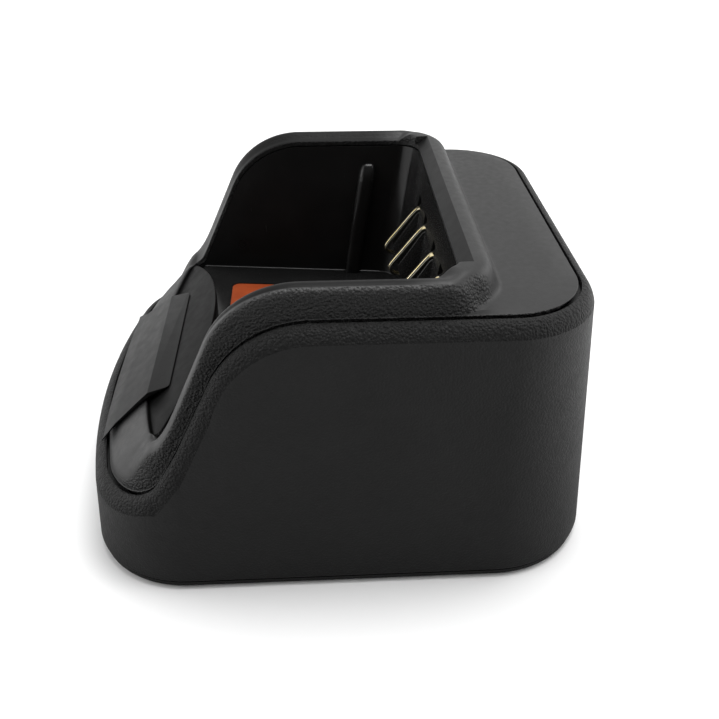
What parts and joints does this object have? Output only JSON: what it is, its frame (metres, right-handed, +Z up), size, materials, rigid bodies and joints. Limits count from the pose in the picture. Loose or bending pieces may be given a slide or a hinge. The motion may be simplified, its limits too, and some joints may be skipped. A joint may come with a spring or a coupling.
{
  "type": "desktop radio charging cradle",
  "caption": "Desktop charging cradle for a handheld two-way radio: rounded black case, stepped-down front and a glossy leaning pocket with sprung contacts.",
  "frame": {"origin": "centre of the footprint, on the table", "axes": "+Z up, -Y to the front where the nameplate is, +X to the side that faces the camera"},
  "size_m": [0.1, 0.1086, 0.0647],
  "materials": {
    "case_grained": "fine moulded grain, satin black",
    "cover_grained": "satin black with a coarser grain on the rim",
    "pocket_gloss": "polished black",
    "panel_satin": "smooth satin dark grey",
    "nameplate_satin": "smooth satin dark grey, blank",
    "clear_plastic": "clear moulded plastic",
    "label_orange": "printed vinyl, blank",
    "label_grey": "printed film, blank",
    "black_moulding": "satin black",
    "circuit_board": "green solder mask",
    "steel": "zinc-plated",
    "capacitor_sleeve": "shrink sleeve",
    "copper_winding": "enamelled copper wire",
    "heat_sink": "extruded",
    "fuse_body": "ceramic tube",
    "white_moulding": "satin",
    "rubber": "matt",
    "contact_gold": "gold over nickel, polished",
    "lead_red": "wire insulation",
    "lead_black": "wire insulation",
    "lead_yellow": "wire insulation",
    "lead_white": "wire insulation"
  },
  "bodies": {
    "cradle": {"base_plate": "case_grained", "board_screw_1": "steel", "board_screw_2": "steel", "board_screw_3": "steel", "board_screw_4": "steel", "carrier_screw_left": "steel", "carrier_screw_right": "steel", "case_screw_1": "steel", "case_screw_2": "steel", "case_screw_3": "steel", "case_screw_4": "steel", "charge_controller": "black_moulding", "contact_carrier": "black_moulding", "contact_lead_1": "lead_red", "contact_lead_2": "lead_black", "contact_lead_3": "lead_yellow", "contact_lead_4": "lead_white", "foot_1": "rubber", "foot_2": "rubber", "foot_3": "rubber", "foot_4": "rubber", "front_panel": "panel_satin", "fuse": "fuse_body", "heat_sink": "heat_sink", "inductor": "copper_winding", "input_capacitor": "capacitor_sleeve", "lead_header": "white_moulding", "light_guide": "clear_plastic", "lower_housing": "case_grained", "main_board": "circuit_board", "nameplate": "nameplate_satin", "output_capacitor": "capacitor_sleeve", "pocket_label": "label_orange", "pocket_liner": "pocket_gloss", "power_jack": "black_moulding", "power_jack_pin": "steel", "power_transistor": "black_moulding", "rating_label": "label_grey", "status_led_left": "clear_plastic", "status_led_right": "clear_plastic", "top_cover": "cover_grained"},
    "contact_1": {"contact_spring_1": "contact_gold"},
    "contact_2": {"contact_spring_2": "contact_gold"},
    "contact_3": {"contact_spring_3": "contact_gold"},
    "contact_4": {"contact_spring_4": "contact_gold"}
  },
  "joints": [
    {"name": "contact_1_press", "type": "hinge", "parent": "cradle", "child": "contact_1", "pos_m": [-0.018, 0.025, 0.0527], "axis": [1, 0, 0], "range_deg": [0, 15], "stiffness_Nm_per_rad": 0.05},
    {"name": "contact_2_press", "type": "hinge", "parent": "cradle", "child": "contact_2", "pos_m": [-0.007, 0.025, 0.0527], "axis": [1, 0, 0], "range_deg": [0, 15], "stiffness_Nm_per_rad": 0.05},
    {"name": "contact_3_press", "type": "hinge", "parent": "cradle", "child": "contact_3", "pos_m": [0.007, 0.025, 0.0527], "axis": [1, 0, 0], "range_deg": [0, 15], "stiffness_Nm_per_rad": 0.05},
    {"name": "contact_4_press", "type": "hinge", "parent": "cradle", "child": "contact_4", "pos_m": [0.018, 0.025, 0.0527], "axis": [1, 0, 0], "range_deg": [0, 15], "stiffness_Nm_per_rad": 0.05}
  ]
}
